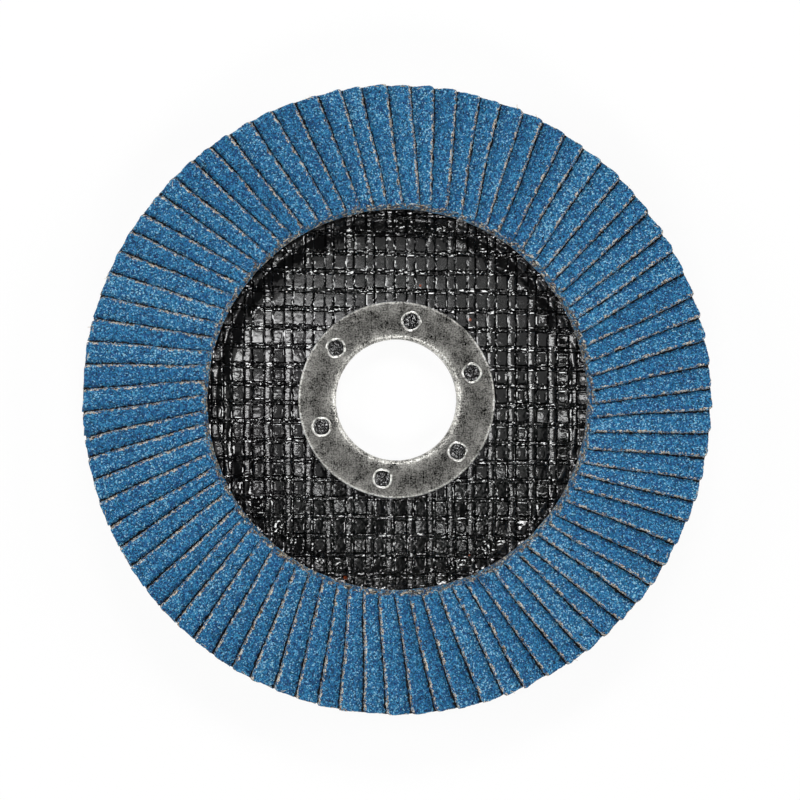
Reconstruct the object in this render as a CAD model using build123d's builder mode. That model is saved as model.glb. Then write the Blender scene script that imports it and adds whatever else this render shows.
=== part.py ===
from build123d import *
from math import asin, atan2, ceil, cos, degrees, radians, sin, sqrt, tan
import os

# Flap disc for an angle grinder. All sizes are in millimetres.
# The bore axis is Z, the flaps face +Z, and the back of the hub lies on Z = 0.

# Abrasive cloth flaps, laid like the blades of a closed fan
disc_d = 115.0           # across the flaps' outer corners
flap_count = 84
flaps_per_node = 2
flap_length = 22.5       # along the radius
flap_width = 13.4        # from the glued edge to the free edge
flap_t = 0.85            # cloth, size coats and grain
flap_gap = 0.03          # between neighbours, where they lie closest

# Adhesive bed under the flaps
resin_under = 0.3        # left under the flaps' glued edges
flap_sink = 0.5          # depth of those edges in the resin
bed_inset = 1.5          # bed starts this far outside the flaps' inner ends
bed_margin = 1.0         # bed stops this far inside the plate's rim

# Dished backing plate of glass mesh and resin
plate_d = 107.0
plate_t = 3.0
hub_d = 62.0             # flat hub
dish_run = 4.0           # radial run of the slope from hub to rim
dish_rise = 1.5          # the rim stands this far forward of the hub
rim_chamfer = 0.5

# Glass mesh that stands proud on the front of the hub
warp_pitch = 3.72        # yarn bands along Y
warp_width = 1.3
warp_height = 0.3
warp_offset = -1.14      # band nearest the axis
weft_pitch = 3.46        # flat yarns along X, seen between the bands
weft_width = 2.55
weft_height = 0.22
weft_offset = 0.93       # yarn nearest the axis
yarn_gap = 0.15          # groove between a band and the yarn beside it
mesh_margin = 0.15       # groove between the mesh and the steel flange

# Pressed steel arbor ring
bore_d = 22.23
steel_t = 0.7
flange_d = 36.0
collar_bend = 0.9        # radius of the drawn edge between flange and bore
flange_chamfer = 0.15
lip_height = 0.6         # lip turned out at 45 degrees behind the plate
lip_recess = 0.1         # lip stays this far inside the plate's back
collar_clearance = 0.05
hole_count = 6
hole_d = 3.0
hole_circle_d = 29.3
hole_turn = 19.7         # degrees from +X to the first hole
hole_chamfer = 0.2
plug_clearance = 0.03    # around the resin plugs in the holes
plug_recess = 0.25       # plugs stop this far below the flange

# Levels and radii that follow from the sizes above
hub_r = hub_d / 2
bore_r = bore_d / 2
collar_r = bore_r + steel_t
plate_hole_r = collar_r + collar_clearance
flange_top = plate_t + steel_t
rim_front = plate_t + dish_rise
bed_top = rim_front + resin_under + flap_sink

# Neighbouring flaps are closest at their inner ends, which sets how far they lean
flap_reach = sqrt((disc_d / 2) ** 2 - (flap_width / 2) ** 2)
flap_start = flap_reach - flap_length
flap_step = radians(360 / flap_count)
flap_spacing = flap_start * sin(flap_step) - flap_width / 2 * (1 - cos(flap_step))
flap_lean = asin((flap_t + flap_gap) / flap_spacing)
flap_middle = (flap_start + flap_length / 2, 0, rim_front + resin_under + flap_width / 2 * sin(flap_lean))

# A 45 degree corner moves by this share of a parallel offset
corner_shift = tan(radians(45) / 2)
lip_top = lip_recess + lip_height
lip_corner = lip_top + steel_t * corner_shift
plate_chamfer = lip_corner + collar_clearance * corner_shift

# The slope keeps the plate's thickness, so the bends behind it lie further out
back_shift = plate_t * tan(atan2(dish_rise, dish_run) / 2)

os.makedirs("parts", exist_ok=True)


def save(piece, name):
    piece.part.label = name
    export_step(piece.part, f"parts/{name}.step")


# Backing plate: a turned profile, then the proud mesh and the resin plugs on its front
with BuildPart() as backing_plate:
    with BuildSketch(Plane.XZ):
        with BuildLine():
            Polyline(
                (plate_hole_r + plate_chamfer, 0),
                (hub_r + back_shift, 0),
                (hub_r + back_shift + dish_run, dish_rise),
                (plate_d / 2, dish_rise),
                (plate_d / 2, rim_front),
                (hub_r + dish_run, rim_front),
                (hub_r, plate_t),
                (plate_hole_r, plate_t),
                (plate_hole_r, plate_chamfer),
                close=True,
            )
        make_face()
        chamfer(vertices().group_by(Axis.X)[-1], rim_chamfer)
    revolve(axis=Axis.Z)

    with BuildSketch(Plane.XY.offset(plate_t)):
        with Locations((warp_offset, 0)):
            with GridLocations(warp_pitch, 0, 2 * ceil(hub_r / warp_pitch) + 1, 1):
                Rectangle(warp_width, hub_d)
        Circle(hub_r, mode=Mode.INTERSECT)
        Circle(flange_d / 2 + mesh_margin, mode=Mode.SUBTRACT)
    extrude(amount=warp_height)

    with BuildSketch(Plane.XY.offset(plate_t)):
        with Locations((warp_offset + warp_pitch / 2, weft_offset)):
            with GridLocations(
                warp_pitch, weft_pitch, 2 * ceil(hub_r / warp_pitch) + 1, 2 * ceil(hub_r / weft_pitch) + 1
            ):
                Rectangle(warp_pitch - warp_width - 2 * yarn_gap, weft_width)
        Circle(hub_r, mode=Mode.INTERSECT)
        Circle(flange_d / 2 + mesh_margin, mode=Mode.SUBTRACT)
    extrude(amount=weft_height)

    with BuildSketch(Plane.XY.offset(plate_t)):
        with PolarLocations(hole_circle_d / 2, hole_count, start_angle=hole_turn):
            Circle(hole_d / 2 - plug_clearance)
    extrude(amount=steel_t - plug_recess)

save(backing_plate, "backing_plate")


# Arbor ring: flange on the plate's front, collar through it, lip turned out behind it
with BuildPart() as arbor_ring:
    with BuildSketch(Plane.XZ):
        with BuildLine():
            Polyline(
                (bore_r, flange_top),
                (flange_d / 2, flange_top),
                (flange_d / 2, plate_t),
                (collar_r, plate_t),
                (collar_r, lip_corner),
                (bore_r + lip_height + steel_t * sqrt(2), lip_recess),
                (bore_r + lip_height, lip_recess),
                (bore_r, lip_top),
                close=True,
            )
        make_face()
        fillet(vertices().sort_by_distance((bore_r, flange_top))[0], collar_bend)
        chamfer(vertices().sort_by_distance((flange_d / 2, flange_top))[0], flange_chamfer)
    revolve(axis=Axis.Z)

    with Locations((0, 0, flange_top)):
        with PolarLocations(hole_circle_d / 2, hole_count, start_angle=hole_turn):
            CounterSinkHole(hole_d / 2, hole_d / 2 + hole_chamfer, depth=steel_t, counter_sink_angle=90)

save(arbor_ring, "arbor_ring")


# One flap: a flat sheet leaning up clockwise from its glued edge, seen from the front
with BuildPart() as flap:
    with BuildSketch(Plane(origin=flap_middle, x_dir=(1, 0, 0), z_dir=(0, sin(flap_lean), cos(flap_lean)))):
        Rectangle(flap_length, flap_width)
    extrude(amount=flap_t)


# Adhesive bed: a flat ring on the rim, grooved by the glued edge of every flap
with BuildPart() as adhesive_bed:
    with BuildSketch(Plane.XY.offset(rim_front)):
        Circle(plate_d / 2 - bed_margin)
        Circle(flap_start + bed_inset, mode=Mode.SUBTRACT)
    extrude(amount=bed_top - rim_front)
    with PolarLocations(0, flap_count):
        add(flap.part, mode=Mode.SUBTRACT)

save(adhesive_bed, "adhesive_bed")


# Flaps: every node holds the next few of the fan as separate solids
for first in range(0, flap_count, flaps_per_node):
    count = min(flaps_per_node, flap_count - first)
    with BuildPart() as flap_group:
        with PolarLocations(
            0, count, start_angle=degrees(flap_step) * first, angular_range=degrees(flap_step) * count
        ):
            add(flap.part)
    save(flap_group, f"flap_pair_{first // flaps_per_node + 1:02d}")
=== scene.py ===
import math
import random

import bmesh
import bpy
from mathutils import Matrix, Vector, noise


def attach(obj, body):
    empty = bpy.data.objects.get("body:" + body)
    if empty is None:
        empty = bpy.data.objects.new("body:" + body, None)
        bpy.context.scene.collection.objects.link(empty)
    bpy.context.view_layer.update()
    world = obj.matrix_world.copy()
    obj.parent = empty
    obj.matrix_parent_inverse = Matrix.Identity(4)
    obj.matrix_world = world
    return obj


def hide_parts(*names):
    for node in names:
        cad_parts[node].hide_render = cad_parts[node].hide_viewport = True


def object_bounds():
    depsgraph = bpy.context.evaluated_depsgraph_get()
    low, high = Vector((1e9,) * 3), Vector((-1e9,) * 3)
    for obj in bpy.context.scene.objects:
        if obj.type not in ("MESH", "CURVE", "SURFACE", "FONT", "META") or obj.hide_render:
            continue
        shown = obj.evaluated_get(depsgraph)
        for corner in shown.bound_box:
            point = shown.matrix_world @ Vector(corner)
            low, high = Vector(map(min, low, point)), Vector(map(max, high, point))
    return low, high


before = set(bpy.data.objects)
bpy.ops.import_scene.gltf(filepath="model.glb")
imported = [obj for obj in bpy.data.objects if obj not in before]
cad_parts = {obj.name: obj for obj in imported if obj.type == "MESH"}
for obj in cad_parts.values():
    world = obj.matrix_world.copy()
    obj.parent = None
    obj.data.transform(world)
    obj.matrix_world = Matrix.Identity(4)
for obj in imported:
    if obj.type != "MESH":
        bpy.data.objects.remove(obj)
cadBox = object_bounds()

# Sizes below are in millimetres, and meshes are scaled by mm as they are finished.
mm = 0.001

# main sizes of the disc, the same as in the CAD source
disc = {
    "flapCount": 84,
    "flapLength": 22.5,
    "flapWidth": 13.4,
    "flapThickness": 0.85,
    "flapReach": math.sqrt(57.5 ** 2 - 6.7 ** 2),   # outer ends, so that the corners lie on the 115 mm circle
    "footHeight": 4.8,
    "lean": math.radians(20.04),
    "plateRadius": 53.5,
    "plateThickness": 3.0,
    "hubRadius": 31.0,
    "dishRun": 4.0,
    "dishRise": 1.5,
    "plateHole": 11.865,
    "plugCircle": 14.65,
    "plugTurn": math.radians(19.7),
    "plugCount": 6,
}


# small helpers shared by all pieces

def linearColour(hexColour):
    channels = [int(hexColour[i:i + 2], 16) / 255 for i in (1, 3, 5)]
    return [c / 12.92 if c <= 0.04045 else ((c + 0.055) / 1.055) ** 2.4 for c in channels] + [1.0]


def linearStops(stops):
    return [(position, linearColour(colour)) for position, colour in stops]


def addNode(tree, kind, inputs=None, stops=(), **settings):
    made = tree.nodes.new(kind)
    for name, value in settings.items():
        setattr(made, name, value)
    for key, value in (inputs or {}).items():
        if isinstance(value, bpy.types.NodeSocket):
            tree.links.new(value, made.inputs[key])
        else:
            made.inputs[key].default_value = value
    if stops:
        elements = made.color_ramp.elements
        while len(elements) > 1:
            elements.remove(elements[-1])
        elements[0].position, elements[0].color = stops[0]
        for position, colour in stops[1:]:
            elements.new(position).color = colour
    return made


def newMaterial(name):
    material = bpy.data.materials.new(name)
    material.use_nodes = True
    tree = material.node_tree
    tree.nodes.clear()
    shader = addNode(tree, "ShaderNodeBsdfPrincipled")
    output = addNode(tree, "ShaderNodeOutputMaterial", {"Surface": shader.outputs["BSDF"]})
    output.target = "ALL"
    return material, tree, shader


def placeInMm(tree):
    place = addNode(tree, "ShaderNodeTexCoord").outputs["Object"]
    scaled = addNode(tree, "ShaderNodeVectorMath", {0: place, 1: (1 / mm, 1 / mm, 1 / mm)}, operation="MULTIPLY")
    return scaled.outputs[0]


def smoothStep(low, high, value):
    t = min(max((value - low) / (high - low), 0.0), 1.0)
    return t * t * (3 - 2 * t)


def finishPiece(name, bm, material, replaced=(), crease=None):
    bmesh.ops.scale(bm, vec=(mm, mm, mm), verts=bm.verts)
    mesh = bpy.data.meshes.new(name)
    for face in bm.faces:
        face.smooth = True
    if crease:
        for edge in bm.edges:
            edge.smooth = edge.calc_face_angle(0) < math.radians(crease)
    bm.to_mesh(mesh)
    bm.free()
    piece = bpy.data.objects.new(name, mesh)
    bpy.context.scene.collection.objects.link(piece)
    mesh.materials.append(material)
    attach(piece, "root")
    if replaced:
        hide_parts(*replaced)
    return piece


def joinSheets(target, source):
    # a bmesh takes in another one through a mesh
    carrier = bpy.data.meshes.new("carrier")
    source.to_mesh(carrier)
    source.free()
    target.from_mesh(carrier)
    bpy.data.meshes.remove(carrier)


# abrasive cloth: blue grain coat on cream cotton cloth

cloth = {
    "grit": 0.22,             # mm between grains, about P80
    "grainShades": [(0.0, "#001835"), (0.30, "#064577"), (0.64, "#1571a6"), (0.87, "#469dcb"), (1.0, "#a2d6ec")],
    "tintDrift": [(0.25, "#1b8090"), (0.75, "#455fae")],
    "tintShare": 0.30,
    "finePerMm": 4.5,
    "patchesPerMm": 0.35,
    "patchStrength": 0.08,
    "threadsPerMm": 3.0,
    "stretchesPerMm": 0.9,
    "bitsPerMm": 2.8,
    # dark gaps of painted shade, rusty glue, cream yarn and white fibre ends on a cut edge
    "cutEdge": [(0.39, "#101216"), (0.43, "#93683f"), (0.47, "#cbba9e"), (0.53, "#ece5d8")],
    # the same on the glued inner ends, drawn darker and greyer as painted shade, with brown and grey on the yarn
    "gluedEnd": [(0.345, "#101216"), (0.42, "#6d4c33"), (0.49, "#5f7074"), (0.56, "#a3977f"), (0.64, "#ece5d8")],
    "edgeWear": 0.48,
    "wearSoftness": (-0.03, 0.05),
    # painted shade in the crack under the next sheet's edge
    "crackShadeColour": "#04070c",
    "crackWander": 1.9,
    "crackSoftness": (0.42, 0.72),
    "roughness": (0.3, 0.85),
    "specularLevel": 0.3,
    "bumpHeight": 0.16,
}


def makeClothMaterial():
    # zirconia grain in blue resin on cotton: hard glittering grit on top, frayed cream cloth at every cut
    material, tree, shader = newMaterial("coatedAbrasiveCloth")
    inMm = placeInMm(tree)
    grains = addNode(tree, "ShaderNodeTexVoronoi", {"Vector": inMm, "Scale": 1 / cloth["grit"]})
    fine = addNode(tree, "ShaderNodeTexNoise",
                   {"Vector": inMm, "Scale": cloth["finePerMm"], "Detail": 2.0, "Roughness": 0.7})
    patches = addNode(tree, "ShaderNodeTexNoise", {"Vector": inMm, "Scale": cloth["patchesPerMm"], "Detail": 3.0})
    grainTone = addNode(tree, "ShaderNodeSeparateColor", {0: grains.outputs["Color"]})
    sheetTone = addNode(tree, "ShaderNodeAttribute", attribute_name="tone").outputs["Fac"]

    # each grain has its own shade, moved a little by patches and from sheet to sheet
    shade = addNode(tree, "ShaderNodeMath", {0: patches.outputs["Fac"], 1: cloth["patchStrength"],
                                             2: -cloth["patchStrength"] / 2}, operation="MULTIPLY_ADD")
    shade = addNode(tree, "ShaderNodeMath", {0: shade.outputs[0], 1: grainTone.outputs[0]}, operation="ADD")
    shade = addNode(tree, "ShaderNodeMath", {0: shade.outputs[0], 1: sheetTone}, operation="ADD", use_clamp=True)
    blue = addNode(tree, "ShaderNodeValToRGB", {"Fac": shade.outputs[0]}, linearStops(cloth["grainShades"]))
    drift = addNode(tree, "ShaderNodeValToRGB", {"Fac": grainTone.outputs[1]}, linearStops(cloth["tintDrift"]))
    driftShare = addNode(tree, "ShaderNodeMath", {0: grainTone.outputs[2], 1: cloth["tintShare"]},
                         operation="MULTIPLY")
    blueMix = addNode(tree, "ShaderNodeMix", {"Factor": driftShare.outputs[0], 6: blue.outputs[0],
                                              7: drift.outputs[0]}, data_type="RGBA")

    # cut cloth: white fibre ends, cream yarn, brown glue and dark gaps of painted shade
    threads = addNode(tree, "ShaderNodeTexNoise",
                      {"Vector": inMm, "Scale": cloth["threadsPerMm"], "Detail": 1.5, "Roughness": 0.6})
    stretches = addNode(tree, "ShaderNodeTexNoise",
                        {"Vector": inMm, "Scale": cloth["stretchesPerMm"], "Detail": 2.0})
    bits = addNode(tree, "ShaderNodeTexNoise",
                   {"Vector": inMm, "Scale": cloth["bitsPerMm"], "Detail": 1.5, "Roughness": 0.6})
    fibre = addNode(tree, "ShaderNodeMath", {0: stretches.outputs["Fac"], 1: 1.1, 2: -0.55},
                    operation="MULTIPLY_ADD")
    fibre = addNode(tree, "ShaderNodeMath", {0: fibre.outputs[0], 1: threads.outputs["Fac"]}, operation="ADD")
    edgeCloth = addNode(tree, "ShaderNodeValToRGB", {"Fac": bits.outputs["Fac"]}, linearStops(cloth["cutEdge"]))
    ply = addNode(tree, "ShaderNodeAttribute", attribute_name="ply").outputs["Fac"]
    butt = addNode(tree, "ShaderNodeAttribute", attribute_name="butt").outputs["Fac"]
    rim = addNode(tree, "ShaderNodeAttribute", attribute_name="rim").outputs["Fac"]
    # painted shade: the glued inner ends are drawn greyer and darker
    gluedCloth = addNode(tree, "ShaderNodeValToRGB", {"Fac": bits.outputs["Fac"]}, linearStops(cloth["gluedEnd"]))
    bareCloth = addNode(tree, "ShaderNodeMix", {"Factor": butt, 6: edgeCloth.outputs[0],
                                                7: gluedCloth.outputs[0]}, data_type="RGBA")

    # grain breaks off along the cut edges and bares the cloth, unevenly
    wear = addNode(tree, "ShaderNodeMath", {0: rim, 1: cloth["edgeWear"], 2: fibre.outputs[0]},
                   operation="MULTIPLY_ADD")
    wear = addNode(tree, "ShaderNodeMath", {0: wear.outputs[0], 1: ply}, operation="SUBTRACT")
    bared = addNode(tree, "ShaderNodeMapRange", {"Value": wear.outputs[0], "From Min": cloth["wearSoftness"][0],
                                                 "From Max": cloth["wearSoftness"][1]})
    colour = addNode(tree, "ShaderNodeMix", {"Factor": bared.outputs[0], 6: blueMix.outputs[2],
                                             7: bareCloth.outputs[2]}, data_type="RGBA")
    # painted shade: the crack under the next sheet's edge is painted near black, where the sheet above shades it
    crack = addNode(tree, "ShaderNodeAttribute", attribute_name="crack").outputs["Fac"]
    crackWidth = addNode(tree, "ShaderNodeMath", {0: fibre.outputs[0], 1: cloth["crackWander"],
                                                  2: -cloth["crackWander"] / 2}, operation="MULTIPLY_ADD")
    crackEdge = addNode(tree, "ShaderNodeMath", {0: crack, 1: crackWidth.outputs[0]}, operation="ADD")
    crackShadeMask = addNode(tree, "ShaderNodeMapRange", {"Value": crackEdge.outputs[0],
                                                     "From Min": cloth["crackSoftness"][0],
                                                     "From Max": cloth["crackSoftness"][1]})
    colour = addNode(tree, "ShaderNodeMix", {"Factor": crackShadeMask.outputs[0], 6: colour.outputs[2],
                                             7: linearColour(cloth["crackShadeColour"])}, data_type="RGBA")
    tree.links.new(colour.outputs[2], shader.inputs["Base Color"])

    rough = addNode(tree, "ShaderNodeMapRange", {"Value": grainTone.outputs[1], "To Min": cloth["roughness"][0],
                                                 "To Max": cloth["roughness"][1]})
    tree.links.new(rough.outputs[0], shader.inputs["Roughness"])
    height = addNode(tree, "ShaderNodeMath", {0: grains.outputs["Distance"], 1: -1.0, 2: fine.outputs["Fac"]},
                     operation="MULTIPLY_ADD")
    bump = addNode(tree, "ShaderNodeBump", {"Strength": 1.0, "Distance": cloth["bumpHeight"] * mm,
                                            "Height": height.outputs[0]})
    tree.links.new(bump.outputs[0], shader.inputs["Normal"])
    shader.inputs["Specular IOR Level"].default_value = cloth["specularLevel"]
    return material


clothMaterial = makeClothMaterial()


# flaps: every sheet of the fan, with a ragged free edge and real grain relief

flap = {
    "columns": 100,         # along the radius, about 0.22 mm each
    "fineRows": 20,         # in the strip that shows beside the free edge
    "coarseRows": 3,
    "fineStrip": 5.0,
    "grainHeight": 0.05,
    "grainPerMm": (3.1, 6.3),
    "grainSeat": 0.06,      # the middle of the grain lies this far under the full thickness
    "edgeDrop": 0.07,       # the top sinks by this much in the last edgeDropReach before a cut
    "edgeDropReach": 0.35,
    "edgeShrink": 0.5,      # free edges stop up to this far short of the full width
    "edgeReach": 3.5,       # how far into the sheet the uneven free edge draws the grid
    "edgeWave": 0.12,
    "edgeRag": 0.09,
    "edgeRagPerMm": (2.1, 4.5),
    "endShrink": 0.3,
    "endReach": 2.0,
    "innerSkew": 0.22,
    "innerSkewReach": 6,
    "cornerRound": 0.7,
    "turn": math.radians(0.22),
    # worn edge, as steps from the top of the sheet down: out past the edge, height, share of grain, painted shade
    # at the foot
    "edgeSteps": [(0.02, 0.64, 0.94, 0.0), (0.07, 0.45, 0.84, 0.0),
                  (0.05, 0.24, 0.74, 0.3), (0.01, 0.0, 0.5, 1.0)],
    "wallWander": 0.07,
    "footReach": 0.15,
    "rimWidth": 0.55,       # worn strip along the free edge
    "buttRim": (1.25, 0.20, 1.08),      # worn strip at the inner end: from, full at, strength
    # painted shade on the inner ends: from, full at
    "buttShade": (1.3, 0.5),
    "crackNear": (-0.12, 0.25),         # past the edge of the sheet above: painted shade up to here
    "crackFar": (-1.6, -1.0),
    "crackStart": (1.0, 0.5),           # no crack is drawn this near the inner end
}


def sheetSettings(index):
    # every sheet is cut and glued a little differently
    index %= disc["flapCount"]
    draw = random.Random(1000 + index)
    return {
        "seed": index * 17.3,
        "shrink": draw.uniform(0, flap["edgeShrink"]),
        "skew": draw.uniform(-0.3, 0.3),
        "wavePhase": draw.uniform(0, 6.28),
        "waveCount": draw.uniform(0.5, 1.3),
        "outerCut": draw.uniform(0.03, flap["endShrink"]),
        "innerCut": draw.uniform(0, 0.12),
        "corner": flap["cornerRound"] * draw.uniform(0.4, 1.5),
        "tone": draw.gauss(0, 0.03),
        "turn": draw.uniform(-1, 1) * flap["turn"],
    }


def edgePull(sheet, u):
    # how far the free edge stops short of the full width
    along = u / disc["flapLength"]
    coarse, fine = flap["edgeRagPerMm"]
    rag = noise.noise(Vector((u * coarse, sheet["seed"], 0)))
    rag = rag + 0.8 * noise.noise(Vector((u * fine, sheet["seed"], 3)))
    wave = flap["edgeWave"] * math.sin(sheet["wavePhase"] + along * sheet["waveCount"] * 6.28)
    return max(sheet["shrink"] + sheet["skew"] * (along - 0.5) + wave + flap["edgeRag"] * rag, 0)


def sheetPlace(index):
    # lay the sheet: u out along the radius, w leaning up clockwise, then turned to its place in the fan
    lean, half = disc["lean"], disc["flapWidth"] / 2
    lay = Matrix((
        (1, 0, 0, disc["flapReach"] - disc["flapLength"]),
        (0, -math.cos(lean), math.sin(lean), half * math.cos(lean)),
        (0, math.sin(lean), math.cos(lean), disc["footHeight"]),
        (0, 0, 0, 1),
    ))
    turn = index * 2 * math.pi / disc["flapCount"] + sheetSettings(index)["turn"]
    return Matrix.Rotation(turn, 4, "Z") @ lay


def coverLine(index):
    # where the free edge of the sheet above lies, in this sheet's own u and w
    above = sheetSettings(index + 1)
    toHere = sheetPlace(index).inverted() @ sheetPlace(index + 1)
    spots = [toHere @ Vector((u, disc["flapWidth"] - edgePull(above, u) + flap["footReach"], 0))
             for u in [disc["flapLength"] * step / 60 for step in range(61)]]
    return [(spot.x, spot.y) for spot in spots]


def makeFlapSheet(index):
    sheet = bmesh.new()
    rows = flap["coarseRows"] + flap["fineRows"]
    bmesh.ops.create_grid(sheet, x_segments=flap["columns"], y_segments=rows, size=0.5)
    layers = {name: sheet.verts.layers.float.new(name) for name in ("ply", "rim", "butt", "tone", "crack")}

    length, width, thick = disc["flapLength"], disc["flapWidth"], disc["flapThickness"]
    own = sheetSettings(index)
    corner, seed = own["corner"], own["seed"]
    cover = coverLine(index)
    coverStep = (cover[-1][0] - cover[0][0]) / (len(cover) - 1)
    grainCoarse, grainFine = flap["grainPerMm"]
    rimFrom, rimFull, rimStrength = flap["buttRim"]

    for vert in sheet.verts:
        across = (vert.co.y + 0.5) * rows
        u = (vert.co.x + 0.5) * length
        if across <= flap["coarseRows"]:
            w = across / flap["coarseRows"] * (width - flap["fineStrip"])
        else:
            w = width - flap["fineStrip"] + (across - flap["coarseRows"]) / flap["fineRows"] * flap["fineStrip"]
        toEdge, toEnd, fromStart = width - w, length - u, u

        # round the outer free corner
        if toEdge < corner and toEnd < corner:
            p, q = 1 - toEnd / corner, 1 - toEdge / corner
            u = length - corner * (1 - p * math.sqrt(1 - q * q / 2))
            w = width - corner * (1 - q * math.sqrt(1 - p * p / 2))

        # uneven free edge, outer end and inner end
        w -= smoothStep(flap["edgeReach"], 0, toEdge) * edgePull(own, u)
        endRag = 0.09 * noise.noise(Vector((w * 2.0, seed, 7))) + 0.06 * noise.noise(Vector((w * 5.0, seed, 9)))
        outerCut = own["outerCut"] * (0.6 + 0.4 * math.sin(w * 0.9 + seed)) + endRag
        u -= smoothStep(flap["endReach"], 0, toEnd) * max(outerCut, 0)
        startRag = 0.05 * noise.noise(Vector((w * 3.0, seed, 21)))
        innerCut = own["innerCut"] + startRag + flap["innerSkew"] * smoothStep(flap["innerSkewReach"], 0, toEdge)
        u += smoothStep(flap["endReach"], 0, fromStart) * max(innerCut, 0)

        relief = noise.noise(Vector((u * grainCoarse, w * grainCoarse, seed)))
        relief = relief + 0.6 * noise.noise(Vector((u * grainFine, w * grainFine, seed)))
        h = thick - flap["grainSeat"] + flap["grainHeight"] * relief
        h -= flap["edgeDrop"] * smoothStep(flap["edgeDropReach"], 0, min(toEdge, toEnd, fromStart))
        vert.co = Vector((u, w, h))

        # painted shade: the crack attribute darkens the strip beside the edge of the sheet above
        spot = min(max(int((u - cover[0][0]) / coverStep), 0), len(cover) - 1)
        beyond = w - cover[spot][1]
        underEdge = 1 - smoothStep(*flap["crackNear"], beyond)
        vert[layers["crack"]] = underEdge * smoothStep(*flap["crackFar"], beyond)
        vert[layers["crack"]] *= 1 - smoothStep(*flap["crackStart"], fromStart)
        vert[layers["ply"]] = 1.0
        vert[layers["rim"]] = 1 - smoothStep(0, flap["rimWidth"], min(toEdge, toEnd + 0.1))
        # painted shade: butt darkens and greys the inner end
        vert[layers["butt"]] = smoothStep(*flap["buttShade"], fromStart)
        vert[layers["rim"]] = max(vert[layers["rim"]], rimStrength * smoothStep(rimFrom, rimFull, fromStart))
        vert[layers["tone"]] = own["tone"]

    # cut walls in steps: worn upper edge, ragged cloth, painted shade at the foot
    wallEdges = [edge for edge in sheet.edges if edge.is_boundary]
    for step, (outward, level, side, footShade) in enumerate(flap["edgeSteps"]):
        grown = bmesh.ops.extrude_edge_only(sheet, edges=wallEdges)["geom"]
        wallEdges = [item for item in grown if isinstance(item, bmesh.types.BMEdge)]
        for vert in [item for item in grown if isinstance(item, bmesh.types.BMVert)]:
            wander = noise.noise(Vector((vert.co.x * 4.2, vert.co.y * 4.2, seed + level)))
            wander = flap["wallWander"] * wander
            vert.co.y += (outward + wander) * smoothStep(3.0, 0.5, width - vert.co.y)
            vert.co.z = level + 0.5 * wander if level > 0 else 0
            vert[layers["ply"]] = side
            vert[layers["rim"]] = 1.0 if step == 0 else 0.6
            vert[layers["butt"]] = max(vert[layers["butt"]], 0.25)
            vert[layers["crack"]] = footShade * smoothStep(3.0, 0.5, width - vert.co.y)
    bmesh.ops.edgeloop_fill(sheet, edges=wallEdges)
    bmesh.ops.recalc_face_normals(sheet, faces=sheet.faces)
    bmesh.ops.transform(sheet, matrix=sheetPlace(index), verts=sheet.verts)
    return sheet


flapNodes = sorted(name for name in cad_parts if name.startswith("flap_pair"))
perPiece = disc["flapCount"] // len(flapNodes)
for number, nodeName in enumerate(flapNodes):
    both = bmesh.new()
    for index in range(number * perPiece, (number + 1) * perPiece):
        joinSheets(both, makeFlapSheet(index))
    finishPiece(nodeName.replace("flap_pair", "clothFlaps"), both, clothMaterial, (nodeName,))
print("flaps laid:", len(flapNodes) * perPiece)


# loose cotton fibres at the cut ends of the sheets

fibres = {
    "stain": [(0.40, "#b09a78"), (0.55, "#e6ddca")],
    "stainPerMetre": 700.0,
    "roughness": 0.9,
    "sheen": 0.2,
    "radius": 0.045,
    "sides": 5,
    "lift": 0.82,           # height over the underside of the sheet
    "steps": 5,
    "step": 0.2,
    "bend": 0.25,
    "innerShare": 0.6,
}


def makeFibreMaterial():
    # bare cotton: pale and dull, with a little fuzz at a low angle
    material, tree, shader = newMaterial("cottonFibre")
    place = addNode(tree, "ShaderNodeTexCoord").outputs["Object"]
    stain = addNode(tree, "ShaderNodeTexNoise", {"Vector": place, "Scale": fibres["stainPerMetre"], "Detail": 2.0})
    colour = addNode(tree, "ShaderNodeValToRGB", {"Fac": stain.outputs["Fac"]}, linearStops(fibres["stain"]))
    tree.links.new(colour.outputs[0], shader.inputs["Base Color"])
    shader.inputs["Roughness"].default_value = fibres["roughness"]
    shader.inputs["Sheen Weight"].default_value = fibres["sheen"]
    return material


def makeFibre(draw, start, heading):
    # a thin closed tube that grows step by step over the sheet and bends as it goes
    tube = bmesh.new()
    upright = heading.to_track_quat("Z", "Y").to_matrix().to_4x4()
    bmesh.ops.create_circle(tube, cap_ends=True, segments=fibres["sides"], radius=fibres["radius"],
                            matrix=Matrix.Translation(start) @ upright)
    end, spot = tube.faces[:], start.copy()
    curl = draw.uniform(-1, 1) * fibres["bend"]
    for step in range(fibres["steps"]):
        grown = bmesh.ops.extrude_face_region(tube, geom=end)["geom"]
        end = [item for item in grown if isinstance(item, bmesh.types.BMFace)]
        tip = [item for item in grown if isinstance(item, bmesh.types.BMVert)]
        bend = Matrix.Rotation(curl + draw.uniform(-0.2, 0.2), 3, "Z")
        heading = bend @ heading
        bmesh.ops.translate(tube, vec=heading * fibres["step"], verts=tip)
        spot = spot + heading * fibres["step"]
        bmesh.ops.rotate(tube, cent=spot, matrix=bend, verts=tip)
    bmesh.ops.recalc_face_normals(tube, faces=tube.faces)
    return tube


def insideBox(bm):
    return all(low <= value * mm <= high for vert in bm.verts
               for low, value, high in zip(cadBox[0], vert.co, cadBox[1]))


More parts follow.
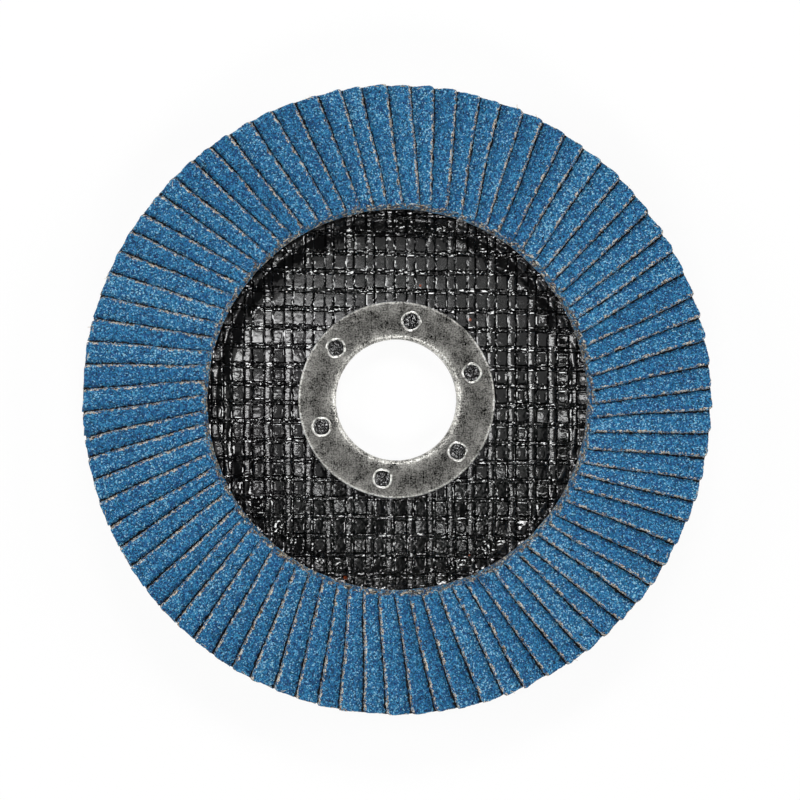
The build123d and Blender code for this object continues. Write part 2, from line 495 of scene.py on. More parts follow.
def makeFibres():
    # none to two at a sheet, each left out if it would leave the disc's own box
    threads = bmesh.new()
    for index in range(disc["flapCount"]):
        draw = random.Random(5000 + index)
        own = sheetSettings(index)
        for number in range(draw.randint(0, 2)):
            inner = draw.random() < fibres["innerShare"]
            fromEnd = draw.uniform(0.3, 0.6)
            u = fromEnd if inner else disc["flapLength"] - fromEnd
            w = disc["flapWidth"] - edgePull(own, u) - draw.uniform(0.3, 2.0)
            outward = draw.uniform(-0.2, 0.6)
            heading = Vector((-outward if inner else outward, -1, 0)).normalized()
            tube = makeFibre(draw, Vector((u, w, fibres["lift"])), heading)
            bmesh.ops.transform(tube, matrix=sheetPlace(index), verts=tube.verts)
            if insideBox(tube):
                joinSheets(threads, tube)
            else:
                tube.free()
    return threads


finishPiece("frayedFibres", makeFibres(), makeFibreMaterial())
print("fibres made")


# woven glass in black resin

laminate = {
    "resin": [(0.35, "#030304"), (0.70, "#0c0c0d")],
    "fleckColour": "#8a3a16",
    "fleckPerMm": 0.22,       # one place in ten of this grid holds a rusty fleck
    "fleckRarity": 0.90,
    "fleckSize": (0.10, 0.07),
    "cloudPerMm": 0.5,
    "ripplePerMm": 1.9,
    "strandStretch": (1.0, 4.5, 1.0),
    "foldPerMm": 1.5,
    "foldShare": 0.35,
    "reliefFrom": 0.1,        # calmer places than this keep only reliefRange's first value
    "reliefRange": (0.03, 0.98),
    "bumpStrength": 0.6,
    "bumpHeight": 0.12,
    "roughness": (0.085, 0.14),
    "ior": 1.6,
    "specularLevel": 0.9,
}


def makeLaminateMaterial():
    # phenolic resin moulded over glass mesh: deep black and wet-looking, duller where it was pressed flat
    material, tree, shader = newMaterial("blackPhenolicLaminate")
    inMm = placeInMm(tree)
    cloud = addNode(tree, "ShaderNodeTexNoise", {"Vector": inMm, "Scale": laminate["cloudPerMm"], "Detail": 4.0})
    colour = addNode(tree, "ShaderNodeValToRGB", {"Fac": cloud.outputs["Fac"]}, linearStops(laminate["resin"]))
    # a few rust flecks
    flecks = addNode(tree, "ShaderNodeTexVoronoi", {"Vector": inMm, "Scale": laminate["fleckPerMm"]})
    fleckDot = addNode(tree, "ShaderNodeMapRange", {"Value": flecks.outputs["Distance"],
                                                    "From Min": laminate["fleckSize"][0],
                                                    "From Max": laminate["fleckSize"][1]})
    fleckTone = addNode(tree, "ShaderNodeSeparateColor", {0: flecks.outputs["Color"]})
    fleckRare = addNode(tree, "ShaderNodeMath", {0: fleckTone.outputs[0], 1: laminate["fleckRarity"]},
                        operation="GREATER_THAN")
    fleckMask = addNode(tree, "ShaderNodeMath", {0: fleckDot.outputs[0], 1: fleckRare.outputs[0]},
                        operation="MULTIPLY")
    withFlecks = addNode(tree, "ShaderNodeMix", {"Factor": fleckMask.outputs[0], 6: colour.outputs[0],
                                                 7: linearColour(laminate["fleckColour"])}, data_type="RGBA")
    tree.links.new(withFlecks.outputs[2], shader.inputs["Base Color"])
    ripple = addNode(tree, "ShaderNodeTexNoise",
                     {"Vector": inMm, "Scale": laminate["ripplePerMm"], "Detail": 3.0, "Roughness": 0.6})
    rough = addNode(tree, "ShaderNodeMapRange", {"Value": cloud.outputs["Fac"], "From Min": 0.3, "From Max": 0.7,
                                                 "To Min": laminate["roughness"][0],
                                                 "To Max": laminate["roughness"][1]})
    tree.links.new(rough.outputs[0], shader.inputs["Roughness"])
    # filaments of the glass yarn show faintly through the resin
    stretched = addNode(tree, "ShaderNodeMapping", {"Vector": inMm, "Scale": laminate["strandStretch"]})
    strands = addNode(tree, "ShaderNodeTexNoise", {"Vector": stretched.outputs[0], "Scale": 1.0, "Detail": 2.0})
    height = addNode(tree, "ShaderNodeMath", {0: strands.outputs["Fac"], 1: 0.5, 2: ripple.outputs["Fac"]},
                     operation="MULTIPLY_ADD")
    wild = addNode(tree, "ShaderNodeAttribute", attribute_name="wild").outputs["Fac"]
    folds = addNode(tree, "ShaderNodeTexNoise",
                    {"Vector": inMm, "Scale": laminate["foldPerMm"], "Detail": 2.0, "Distortion": 0.8},
                    noise_type="RIDGED_MULTIFRACTAL")
    height = addNode(tree, "ShaderNodeMath", {0: folds.outputs["Fac"], 1: laminate["foldShare"],
                                              2: height.outputs[0]}, operation="MULTIPLY_ADD")
    relief = addNode(tree, "ShaderNodeMapRange", {"Value": wild, "From Min": laminate["reliefFrom"],
                                                  "From Max": 1.0, "To Min": laminate["reliefRange"][0],
                                                  "To Max": laminate["reliefRange"][1]})
    height = addNode(tree, "ShaderNodeMath", {0: height.outputs[0], 1: relief.outputs[0]}, operation="MULTIPLY")
    bump = addNode(tree, "ShaderNodeBump", {"Strength": laminate["bumpStrength"],
                                            "Distance": laminate["bumpHeight"] * mm, "Height": height.outputs[0]})
    tree.links.new(bump.outputs[0], shader.inputs["Normal"])
    shader.inputs["IOR"].default_value = laminate["ior"]
    shader.inputs["Specular IOR Level"].default_value = laminate["specularLevel"]
    return material


laminateMaterial = makeLaminateMaterial()

weave = {
    "warpPitch": 3.72,       # mm between pairs of strands along Y
    "warpHalf": 0.66,
    "warpOffset": -1.14,
    "warpHeight": 0.30,
    "weftPitch": 3.46,       # mm between the yarns along X
    "weftHalf": 1.30,
    "weftOffset": 0.93,
    "weftHeight": 0.25,
    "cellHalf": 1.16,        # half the bared length of a weft yarn between two bands
    "tieHeight": 0.22,
    "tieMiddle": 0.17,       # from the middle of a gap to each of its two thin tie yarns
    "tieHalf": 0.14,
    "ringHeight": 0.045,     # dried rings of resin on a cell
    "blister": 0.045,
    "crumple": 0.035,
    "foldHeight": 0.06,
    "steepness": 1.8,        # how fast a strand falls away at its side
    "grooveDepth": 0.40,
    "sideGroove": (0.10, 0.19),      # beside a band: place and half width
    "endGroove": (0.38, 0.14),       # between a cell and its tie yarns, the same two
    "betweenGroove": 0.08,
    "lowest": -0.2,
    "southShare": 0.75,
    "sideShare": 0.30,
    "dishShare": 0.6,
    "skinInner": 17.6,
    "skinOuter": 36.0,
    "skinStep": 0.15,
    "skirtFoot": 2.5,
    "backCeiling": 0.32,
    "backSkirtFoot": 2.2,
}


def dishLevel(radius):
    # rise of the dished plate at a radius, with its two bends eased over 0.8 mm
    def area(value):
        t = min(max(value - disc["hubRadius"], 0), disc["dishRun"])
        return t * t / 2 / disc["dishRun"] + max(value - disc["hubRadius"] - disc["dishRun"], 0)
    ease = 0.8
    return disc["dishRise"] * (area(radius + ease) - area(radius - ease)) / (2 * ease)


def cellDraw(a, b, salt):
    # a repeatable random number from -1 to 1 for one crossing of the weave
    return noise.cell(Vector((a * 1.37 + 11.1, b * 2.71 + 5.3, salt))) * 2 - 1


def groove(distance, halfWidth):
    # a sharp valley, 1 in the middle and 0 outside
    return max(1 - abs(distance) / halfWidth, 0)


def wildness(x, y):
    # the north was pressed flat, the rest came out rough and blistered, most of all in the south
    wild = smoothStep(14, -14, y) * weave["southShare"]
    wild += weave["sideShare"] * smoothStep(13, 26, abs(x)) * smoothStep(20, 4, y)
    wild += weave["dishShare"] * smoothStep(28.6, 31.0, math.hypot(x, y)) * smoothStep(6, 16, y)
    return min(wild, 1.0)


def boxedShare(x, y):
    # east and west the cells stay square, each with a raised rim of resin inside its outline
    start = 11 + 8 * smoothStep(3, 14, y)
    return smoothStep(start, start + 6, abs(x)) * smoothStep(-24, -10, y) * smoothStep(24, 12, y)


def weaveHeight(x, y):
    warpPitch, weftPitch = weave["warpPitch"], weave["weftPitch"]
    wild, boxed = wildness(x, y), boxedShare(x, y)
    # the yarns wander a little
    x += 0.20 * noise.noise(Vector((x * 0.12, y * 0.10, 4.0)))
    y += 0.012 * x + 0.22 * noise.noise(Vector((x * 0.11, y * 0.12, 9.0)))

    k = round((x - weave["warpOffset"]) / warpPitch)
    s = x - weave["warpOffset"] - k * warpPitch + 0.12 * noise.noise(Vector((k * 3.1, y * 0.5, 1.0)))
    column = math.floor((x - weave["warpOffset"]) / warpPitch)
    row = round((y - weave["weftOffset"]) / weftPitch)
    p = x - weave["warpOffset"] - (column + 0.5) * warpPitch
    q = y - weave["weftOffset"] - row * weftPitch
    toGap = weftPitch / 2 - abs(q) + 0.10 * noise.noise(Vector((x * 0.55, round(y / weftPitch) * 5.1, 3.0)))

    # warp band: two strands pressed together, crowned where the plate is wild
    half = weave["warpHalf"] * (1 + 0.12 * noise.noise(Vector((k * 5.7, y * 0.6, 2.0))))
    t = s / half
    band = weave["warpHeight"] - (0.004 + 0.20 * wild * (1 - 0.4 * boxed)) * t * t
    band += (0.004 + 0.08 * wild) * t * noise.noise(Vector((k * 7.7, y * 0.25, 31.0)))
    band += 0.03 * wild * noise.noise(Vector((k * 4.4, y * 1.4, 33.0)))
    if abs(t) > 1:
        band -= weave["steepness"] * (abs(t) - 1)

    # weft yarn between two bands: a flat or tilted pillow with rings where resin dried over it
    lift = weave["weftHeight"] + (0.01 + 0.05 * wild) * cellDraw(column, row, 5)
    pp = p / (weave["cellHalf"] + 0.05 * cellDraw(column, row, 2))
    qq = q / (weave["weftHalf"] * (1 + 0.04 * cellDraw(column, row, 3)))
    pillow = lift - (0.003 + 0.07 * wild) * (pp * pp + 0.7 * qq * qq)
    tilt = pp * cellDraw(column, row, 7) + 0.7 * qq * cellDraw(column, row, 8)
    pillow += (0.005 + 0.10 * wild * (1 - 0.5 * boxed)) * tilt
    ringed = max(cellDraw(column, row, 9), 0) * wild
    outline = (abs(pp) ** 7 + abs(qq) ** 7) ** (1 / 7)
    rings = outline if cellDraw(column, row, 12) > -0.2 else math.hypot(p, q) * 0.8
    pillow += weave["ringHeight"] * (0.3 * wild + 0.7 * ringed) * (1 - boxed) * math.cos(
        10.5 * rings + 2.2 * cellDraw(column, row, 10) - 5.5)
    pillow += weave["ringHeight"] * boxed * (0.8 + 0.4 * cellDraw(column, row, 14)) * smoothStep(
        0.3, 0.5, outline) * math.cos(11.9 * (outline - 0.80))
    if outline > 1:
        pillow -= weave["steepness"] * (outline - 1)

    # two thin tie yarns in every gap, over the cells and the bands
    inCell = smoothStep(1.35, 1.05, abs(p))
    tieCrown = 1 - ((toGap - weave["tieMiddle"]) / weave["tieHalf"]) ** 2
    tieTop = weave["tieHeight"] * inCell + weave["warpHeight"] * (1 - inCell)
    tieTop += 0.04 * noise.noise(Vector((x * 1.1, row * 3.3, 18.0)))
    tie = tieTop - 0.05 * (1 - tieCrown) if tieCrown > -1.5 else -1

    high = max(band, pillow, tie)
    # sharp valleys beside the bands, between the ties and beside the pillows, here and there closed by resin
    closed = noise.noise(Vector((x * 0.7, y * 0.7, 40.0)))
    sidePlace, sideHalf = weave["sideGroove"]
    side = groove(abs(s) - half - sidePlace, sideHalf) * min(max(0.75 + 0.9 * closed, 0), 1.2)
    if wild < 0.4 and (s > 0) == (cellDraw(k, row, 11) > 0):
        side *= 0.25
    endPlace, endHalf = weave["endGroove"]
    ends = groove(toGap - endPlace, endHalf) * min(max(0.75 - 0.9 * closed, 0.1), 1.1) * (0.45 + 0.55 * inCell)
    between = groove(toGap, weave["betweenGroove"]) * 0.5
    high -= weave["grooveDepth"] * max(side, ends, between)

    # blisters, runs and sharp folds in the resin
    wild *= 1 - 0.65 * boxed
    high += (0.002 + weave["blister"] * wild) * noise.noise(Vector((x * 1.5, y * 1.5, 12.0)))
    high += (0.002 + weave["crumple"] * wild) * noise.noise(Vector((x * 3.3, y * 2.8, 22.0)))
    fold = 1 - min(abs(noise.noise(Vector((x * 1.1, y * 1.1, 51.0)))) * 5, 1)
    high += weave["foldHeight"] * wild * fold * fold
    return max(high, weave["lowest"])


def makeWovenSkin(inner, outer, step, depth, level, up, half=0):
    skin = bmesh.new()
    wildLayer = skin.verts.layers.float.new("wild")
    count = 2 * int(outer / step)
    bmesh.ops.create_grid(skin, x_segments=count, y_segments=count, size=outer)
    outside = [v for v in skin.verts if not inner - step / 2 <= v.co.xy.length <= outer + step / 2
               or half * v.co.y < -0.001]
    bmesh.ops.delete(skin, geom=outside, context="VERTS")
    loose = [v for v in skin.verts if len(v.link_faces) == 0]
    bmesh.ops.delete(skin, geom=loose, context="VERTS")
    # the stepped border is drawn onto the two circles
    boundary = {v for e in skin.edges if e.is_boundary for v in e.verts}
    for v in boundary:
        radius = v.co.xy.length
        if abs(radius - inner) < step:
            v.co.xy = v.co.xy * (inner / radius)
        elif abs(radius - outer) < step:
            v.co.xy = v.co.xy * (outer / radius)
    for v in skin.verts:
        radius = v.co.xy.length
        rise = weaveHeight(v.co.x, v.co.y)
        v[wildLayer] = wildness(v.co.x, v.co.y) * (1 - 0.5 * smoothStep(11, 18, abs(v.co.x)))
        if up < 0:
            rise = min(rise, weave["backCeiling"]) - weave["backCeiling"]
        v.co.z = level(radius) + up * rise * depth
    # skirts go down into the plate, so that the skin is no open sheet
    rimEdges = [e for e in skin.edges if e.is_boundary]
    grown = bmesh.ops.extrude_edge_only(skin, edges=rimEdges)["geom"]
    for v in [item for item in grown if isinstance(item, bmesh.types.BMVert)]:
        v.co.z = weave["skirtFoot"] if up > 0 else weave["backSkirtFoot"]
    lowest = [item for item in grown if isinstance(item, bmesh.types.BMEdge)]
    if half:
        bmesh.ops.edgeloop_fill(skin, edges=lowest)
    else:
        bmesh.ops.bridge_loops(skin, edges=lowest)
    bmesh.ops.recalc_face_normals(skin, faces=skin.faces)
    return skin


# backing plate: turned core, woven skins on both faces

plate = {
    "coreSink": 0.3,          # the core lies this far under the woven skins
    "gullyDepth": 0.45,       # the resin face drops away under the flaps' inner ends
    "gullySpan": (32.9, 34.4),
    "frontRadii": (28.0, 30.2, 31.0, 31.8, 32.9, 33.3, 33.8, 34.4, 35.0, 35.9),
    "backRadii": (36.4, 35.4, 34.0, 32.6, 31.6, 30.5),
    "bedInner": 36.0,
    "holeFloor": 0.8,
    "holeChamfer": 1.2,
    "rimChamfer": 0.5,
    "backShift": 0.5,         # the back follows the dish this much further out
    "turnSteps": 240,
    "backInner": 13.4,
    "backOuter": 52.9,
    "backStep": 0.46,
    "backDepth": 0.5,
    "crease": 28,
}


def gully(radius):
    return -plate["gullyDepth"] * smoothStep(*plate["gullySpan"], radius)


def frontLevel(radius):
    return disc["plateThickness"] + dishLevel(radius) + gully(radius)


def backLevel(radius):
    return dishLevel(radius - plate["backShift"])


def makePlateCore():
    core = bmesh.new()
    t, hole, edge, rise = disc["plateThickness"], disc["plateHole"], disc["plateRadius"], disc["dishRise"]
    sink, chamfer = plate["coreSink"], plate["rimChamfer"]
    outline = [(hole, plate["holeFloor"]), (hole, t - sink)]
    outline += [(r, t - sink + dishLevel(r) + gully(r)) for r in plate["frontRadii"]]
    outline += [(plate["bedInner"], t + rise), (edge - chamfer, t + rise), (edge, t + rise - chamfer)]
    outline += [(edge, rise + 0.55), (edge - chamfer, rise + 0.08)]
    outline += [(r, sink + backLevel(r)) for r in plate["backRadii"]]
    outline += [(hole + plate["holeChamfer"], sink)]
    points = [core.verts.new((r, 0, z)) for r, z in outline]
    rim = [core.edges.new((a, b)) for a, b in zip(points, points[1:] + points[:1])]
    bmesh.ops.spin(core, geom=points + rim, cent=(0, 0, 0), axis=(0, 0, 1), angle=2 * math.pi,
                   steps=plate["turnSteps"], use_merge=True, use_duplicate=False)
    bmesh.ops.remove_doubles(core, verts=core.verts, dist=0.001)
    bmesh.ops.recalc_face_normals(core, faces=core.faces)
    return core


plateCore = makePlateCore()
backSkin = makeWovenSkin(plate["backInner"], plate["backOuter"], plate["backStep"], plate["backDepth"],
                         backLevel, -1)
joinSheets(plateCore, backSkin)
finishPiece("backingPlate", plateCore, laminateMaterial, ("backing_plate",),
            crease=plate["crease"])

for name, half in (("glassMeshNorth", 1), ("glassMeshSouth", -1)):
    frontSkin = makeWovenSkin(weave["skinInner"], weave["skinOuter"], weave["skinStep"], 1.0, frontLevel, 1, half)
    print(name, "faces:", len(frontSkin.faces))
    finishPiece(name, frontSkin, laminateMaterial, crease=plate["crease"])


# resin plugs in the flange holes

plug = {"radius": 1.49, "top": 3.42, "bottom": 2.6, "lumps": 0.20, "sides": 48, "rings": 10, "ringStep": 0.14,
        "crease": 12}


def holeSpot(number):
    angle = disc["plugTurn"] + number * 2 * math.pi / disc["plugCount"]
    return Vector((math.cos(angle), math.sin(angle), 0)) * disc["plugCircle"]


def makePlugs():
    # resin that rose through the holes: lumpy caps, each closed below
    plugs = bmesh.new()
    for number in range(disc["plugCount"]):
        one = bmesh.new()
        wildLayer = one.verts.layers.float.new("wild")
        bmesh.ops.create_circle(one, cap_ends=True, segments=plug["sides"], radius=plug["radius"])
        for share in range(plug["rings"]):
            bmesh.ops.inset_region(one, faces=[max(one.faces, key=lambda f: len(f.verts))],
                                   thickness=plug["ringStep"], use_boundary=True)
        edges = [e for e in one.edges if e.is_boundary]
        bmesh.ops.translate(one, vec=(0, 0, plug["top"]), verts=one.verts)
        for v in one.verts:
            v[wildLayer] = 1.0
            inside = smoothStep(1.0, 0.8, v.co.xy.length / plug["radius"])
            lump = noise.noise(Vector((v.co.x * 1.9, v.co.y * 1.9, number * 9.1)))
            lump += noise.noise(Vector((v.co.x * 3.4, v.co.y * 3.4, number * 7.7)))
            v.co.z += inside * plug["lumps"] * lump
        grown = bmesh.ops.extrude_edge_only(one, edges=edges)["geom"]
        for v in [item for item in grown if isinstance(item, bmesh.types.BMVert)]:
            v.co.z = plug["bottom"]
        bmesh.ops.edgeloop_fill(one, edges=[item for item in grown if isinstance(item, bmesh.types.BMEdge)])
        bmesh.ops.recalc_face_normals(one, faces=one.faces)
        bmesh.ops.translate(one, vec=holeSpot(number), verts=one.verts)
        joinSheets(plugs, one)
    return plugs


finishPiece("resinPlugs", makePlugs(), laminateMaterial, crease=plug["crease"])
print("plate, skins and plugs made")


# arbor ring: pressed steel with a dull mottled zinc coat

steel = {
    "tint": "#fffdf6",
    # painted light and shade across the ring, as brightness at radii in mm from the bore out to the flange rim,
    # with painted highlights on the bore edge and the flange rim
    "radialPaintedLight": [(11.0, 0.50), (11.6, 0.62), (11.8, 0.60), (11.95, 0.36), (12.5, 0.25), (13.3, 0.19),
                    (14.2, 0.155), (15.4, 0.16), (16.3, 0.20), (17.2, 0.22), (17.6, 0.26), (17.72, 0.55),
                    (18.0, 0.85)],
    "cloudPerMm": 0.45,
    "cloudShare": 1.5,
    "specklePerMm": 4.0,
    "speckleShare": 1.9,
    "scuffStretches": ((0.8, 5.5, 1.0), (5.5, 0.8, 1.0)),
    "mottleSpan": (2.24, 3.16),
    "mottleTop": 1.95,
    "roughness": (0.42, 0.62),
    "bumpStrength": 0.4,
    "bumpHeight": 0.06,
}


def makeSteelMaterial():
    # electro-zinc on pressed steel: cloudy dull grey with cross scuffs, with painted highlights on the bore edge
    # and the flange rim
    material, tree, shader = newMaterial("zincPlatedSteel")
    inMm = placeInMm(tree)
    bore, flange = steel["radialPaintedLight"][0][0], steel["radialPaintedLight"][-1][0]
    flat = addNode(tree, "ShaderNodeVectorMath", {0: inMm, 1: (1, 1, 0)}, operation="MULTIPLY")
    radius = addNode(tree, "ShaderNodeVectorMath", {0: flat.outputs[0]}, operation="LENGTH")
    span = addNode(tree, "ShaderNodeMapRange", {"Value": radius.outputs["Value"], "From Min": bore,
                                                "From Max": flange})
    # painted light and shade by radius, brightest at the bore edge and the flange rim
    shade = addNode(tree, "ShaderNodeValToRGB", {"Fac": span.outputs[0]},
                    [((r - bore) / (flange - bore), (v, v, v, 1)) for r, v in steel["radialPaintedLight"]])
    cloud = addNode(tree, "ShaderNodeTexNoise",
                    {"Vector": inMm, "Scale": steel["cloudPerMm"], "Detail": 4.0, "Roughness": 0.6})
    speckle = addNode(tree, "ShaderNodeTexNoise",
                      {"Vector": inMm, "Scale": steel["specklePerMm"], "Detail": 1.5, "Roughness": 0.7})
    scuffs = []
    for scale in steel["scuffStretches"]:
        stretched = addNode(tree, "ShaderNodeMapping", {"Vector": inMm, "Scale": scale})
        scuffs.append(addNode(tree, "ShaderNodeTexNoise", {"Vector": stretched.outputs[0], "Scale": 0.8,
                                                           "Detail": 3.0, "Roughness": 0.7}))
    scuff = addNode(tree, "ShaderNodeMath", {0: scuffs[0].outputs["Fac"], 1: scuffs[1].outputs["Fac"]},
                    operation="ADD")
    grain = addNode(tree, "ShaderNodeMath", {0: speckle.outputs["Fac"], 1: steel["speckleShare"],
                                             2: scuff.outputs[0]}, operation="MULTIPLY_ADD")
    grain = addNode(tree, "ShaderNodeMath", {0: cloud.outputs["Fac"], 1: steel["cloudShare"],
                                             2: grain.outputs[0]}, operation="MULTIPLY_ADD")
    mottle = addNode(tree, "ShaderNodeMapRange", {"Value": grain.outputs[0], "From Min": steel["mottleSpan"][0],
                                                  "From Max": steel["mottleSpan"][1], "To Min": 0.0,
                                                  "To Max": steel["mottleTop"]})
    toned = addNode(tree, "ShaderNodeVectorMath", {0: shade.outputs[0], "Scale": mottle.outputs[0]},
                    operation="SCALE")
    tinted = addNode(tree, "ShaderNodeVectorMath", {0: toned.outputs[0], 1: linearColour(steel["tint"])[:3]},
                     operation="MULTIPLY")
    tree.links.new(tinted.outputs[0], shader.inputs["Base Color"])
    rough = addNode(tree, "ShaderNodeMapRange", {"Value": cloud.outputs["Fac"], "To Min": steel["roughness"][0],
                                                 "To Max": steel["roughness"][1]})
    tree.links.new(rough.outputs[0], shader.inputs["Roughness"])
    bump = addNode(tree, "ShaderNodeBump", {"Strength": steel["bumpStrength"],
                                            "Distance": steel["bumpHeight"] * mm, "Height": grain.outputs[0]})
    tree.links.new(bump.outputs[0], shader.inputs["Normal"])
    shader.inputs["Metallic"].default_value = 1.0
    return material


burr = {
    "colours": [(0.36, "#8e8d88"), (0.50, "#fbfaf5")],
    "wearPerMm": 1.6,
    "roughness": 0.42,
    "radius": 1.67,
    "half": 0.21,
    "rise": 0.14,
    "height": 3.69,
    "sides": 10,
    "turnSteps": 56,
    "squareness": 0.025,      # a punched hole is never quite round
    "wobble": 0.03,
}


def makeRubbedMaterial():
    # the burr round a punched hole, rubbed bright
    material, tree, shader = newMaterial("rubbedSteelBurr")
    inMm = placeInMm(tree)
    wear = addNode(tree, "ShaderNodeTexNoise", {"Vector": inMm, "Scale": burr["wearPerMm"], "Detail": 3.0})
    colour = addNode(tree, "ShaderNodeValToRGB", {"Fac": wear.outputs["Fac"]}, linearStops(burr["colours"]))
    tree.links.new(colour.outputs[0], shader.inputs["Base Color"])
    shader.inputs["Metallic"].default_value = 1.0
    shader.inputs["Roughness"].default_value = burr["roughness"]
    return material


def makeHoleRims():
    rims = bmesh.new()
    for number in range(disc["plugCount"]):
        one = bmesh.new()
        bmesh.ops.create_circle(one, segments=burr["sides"], radius=burr["half"], matrix=Matrix.Translation(
            (burr["radius"], 0, burr["height"])) @ Matrix.Rotation(math.pi / 2, 4, "X"))
        bmesh.ops.spin(one, geom=one.verts[:] + one.edges[:], cent=(0, 0, 0), axis=(0, 0, 1), angle=2 * math.pi,
                       steps=burr["turnSteps"], use_merge=True, use_duplicate=False)
        bmesh.ops.remove_doubles(one, verts=one.verts, dist=0.0005)
        bmesh.ops.recalc_face_normals(one, faces=one.faces)
        for v in one.verts:
            around = math.atan2(v.co.y, v.co.x)
            wobble = noise.noise(Vector((math.cos(around) * 1.5, math.sin(around) * 1.5, number * 3.3)))
            v.co.xy *= 1 + burr["squareness"] * math.cos(4 * around + number) + burr["wobble"] * wobble
            v.co.z = burr["height"] + (v.co.z - burr["height"]) * burr["rise"] / burr["half"]
        bmesh.ops.translate(one, vec=holeSpot(number), verts=one.verts)
        joinSheets(rims, one)
    return rims


finishPiece("holeRims", makeHoleRims(), makeRubbedMaterial())


def coverNode(nodeName, material):
    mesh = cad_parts[nodeName].data
    mesh.materials.clear()
    mesh.materials.append(material)


coverNode("arbor_ring", makeSteelMaterial())


# adhesive bed

glue = {"colours": [(0.35, "#2a1c12"), (0.65, "#4a3220")], "cloudPerMm": 0.7, "bumpHeight": 0.3, "roughness": 0.35}


def makeGlueMaterial():
    # hardened epoxy: dark amber, slightly glossy, lumpy where it was squeezed out
    material, tree, shader = newMaterial("hardenedEpoxy")
    inMm = placeInMm(tree)
    cloud = addNode(tree, "ShaderNodeTexNoise", {"Vector": inMm, "Scale": glue["cloudPerMm"], "Detail": 3.0})
    colour = addNode(tree, "ShaderNodeValToRGB", {"Fac": cloud.outputs["Fac"]}, linearStops(glue["colours"]))
    tree.links.new(colour.outputs[0], shader.inputs["Base Color"])
    bump = addNode(tree, "ShaderNodeBump", {"Strength": 0.6, "Distance": glue["bumpHeight"] * mm,
                                            "Height": cloud.outputs["Fac"]})
    tree.links.new(bump.outputs[0], shader.inputs["Normal"])
    shader.inputs["Roughness"].default_value = glue["roughness"]
    return material


coverNode("adhesive_bed", makeGlueMaterial())
print("ring and adhesive covered")


# floor, lights and camera

studio = {
    "worldStrength": 0.025,
    "cameraDistance": 0.65,
    "towardsWest": 0.059,     # camera offset from straight above, per unit of height
    "towardsSouth": 0.016,
    "target": (0.00025, -0.00013, 0.0094),
    "lens": 161.1,
    "sensor": 36.0,
    # lamps: compass turn, angle from straight up, distance, width, height, brightness (1 is white)
    "lamps": {
        "overheadPanel": (80, 4, 0.95, 0.70, 0.70, 0.28),
        "keyStrip": (178, 14, 0.95, 0.09, 0.60, 6.8),
        "westSoftbox": (172, 63, 0.9, 0.32, 0.32, 10.0),
        "eastSoftbox": (8, 63, 0.9, 0.32, 0.32, 9.6),
        "northSoftbox": (88, 50, 0.9, 0.42, 0.21, 12.6),
        "southSoftbox": (270, 52, 0.9, 0.42, 0.21, 12.4),
    },
    "floorSize": 2.0,
    "floorGlow": 0.91,
    "floorPaper": (0.97, 0.97, 0.97, 1),
}


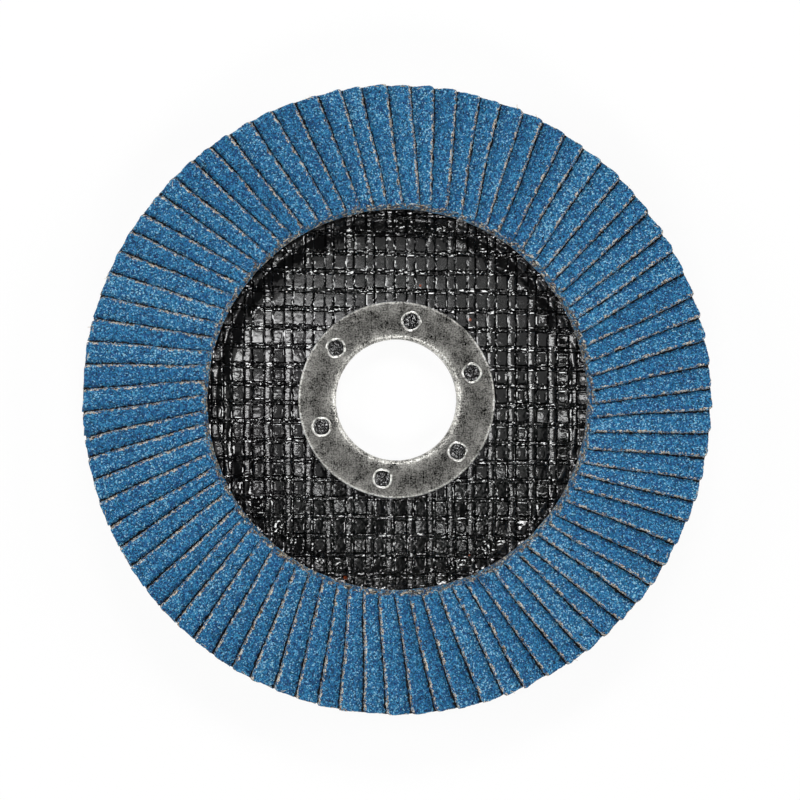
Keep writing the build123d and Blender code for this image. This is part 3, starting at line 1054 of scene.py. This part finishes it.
def makeFloor():
    floorMesh = bmesh.new()
    bmesh.ops.create_grid(floorMesh, x_segments=1, y_segments=1, size=studio["floorSize"])
    mesh = bpy.data.meshes.new("studioFloor")
    floorMesh.to_mesh(mesh)
    floorMesh.free()
    floor = bpy.data.objects.new("studioFloor", mesh)
    bpy.context.scene.collection.objects.link(floor)
    # white paper: glows by itself to the eye and in reflections, and keeps a faint soft shadow
    material, tree, shader = newMaterial("whitePaper")
    shader.inputs["Base Color"].default_value = studio["floorPaper"]
    shader.inputs["Roughness"].default_value = 0.9
    shader.inputs["Specular IOR Level"].default_value = 0.0
    path = addNode(tree, "ShaderNodeLightPath")
    seen = addNode(tree, "ShaderNodeMath", {0: path.outputs["Is Camera Ray"], 1: path.outputs["Is Glossy Ray"]},
                   operation="MAXIMUM")
    seen = addNode(tree, "ShaderNodeMath", {0: seen.outputs[0], 1: path.outputs["Is Transmission Ray"]},
                   operation="MAXIMUM")
    share = addNode(tree, "ShaderNodeMath", {0: seen.outputs[0], 1: studio["floorGlow"]}, operation="MULTIPLY")
    glow = addNode(tree, "ShaderNodeEmission", {"Color": (1, 1, 1, 1), "Strength": 1.0})
    both = addNode(tree, "ShaderNodeMixShader", {0: share.outputs[0], 1: shader.outputs[0], 2: glow.outputs[0]})
    output = next(n for n in tree.nodes if n.type == "OUTPUT_MATERIAL")
    tree.links.new(both.outputs[0], output.inputs["Surface"])
    mesh.materials.append(material)


def addLamp(name, compass, fromZenith, distance, wide, high, brightness):
    lamp = bpy.data.lights.new(name, "AREA")
    lamp.shape = "RECTANGLE"
    lamp.size, lamp.size_y = wide, high
    lamp.energy = brightness * math.pi * wide * high
    holder = bpy.data.objects.new(name, lamp)
    bpy.context.scene.collection.objects.link(holder)
    turn, down = math.radians(compass), math.radians(fromZenith)
    holder.location = Vector((math.cos(turn) * math.sin(down), math.sin(turn) * math.sin(down),
                              math.cos(down))) * distance
    holder.rotation_euler = (-holder.location).to_track_quat("-Z", "Y").to_euler()


def setWorld():
    world = bpy.data.worlds.new("studioWorld")
    bpy.context.scene.world = world
    world.use_nodes = True
    backdrop = world.node_tree.nodes["Background"]
    backdrop.inputs["Color"].default_value = (1, 1, 1, 1)
    # white to the camera, faint as a light
    eye = addNode(world.node_tree, "ShaderNodeLightPath")
    strength = addNode(world.node_tree, "ShaderNodeMapRange", {"Value": eye.outputs["Is Camera Ray"],
                                                               "To Min": studio["worldStrength"], "To Max": 1.0})
    world.node_tree.links.new(strength.outputs[0], backdrop.inputs["Strength"])


def setCamera():
    cameraData = bpy.data.cameras.new("mainCamera")
    camera = bpy.data.objects.new("mainCamera", cameraData)
    bpy.context.scene.collection.objects.link(camera)
    target = Vector(studio["target"])
    back = Vector((-studio["towardsWest"], -studio["towardsSouth"], 1)).normalized()
    right = Vector((0, 1, 0)).cross(back).normalized()
    upward = back.cross(right)
    camera.matrix_world = Matrix.Translation(target + back * studio["cameraDistance"]) @ Matrix(
        (right, upward, back)).transposed().to_4x4()
    cameraData.sensor_width = studio["sensor"]
    cameraData.lens = studio["lens"]
    bpy.context.scene.camera = camera


makeFloor()
setWorld()
for name, numbers in studio["lamps"].items():
    addLamp(name, *numbers)
setCamera()
bpy.context.scene.view_settings.view_transform = "Standard"
print("stage, lamps and camera set")
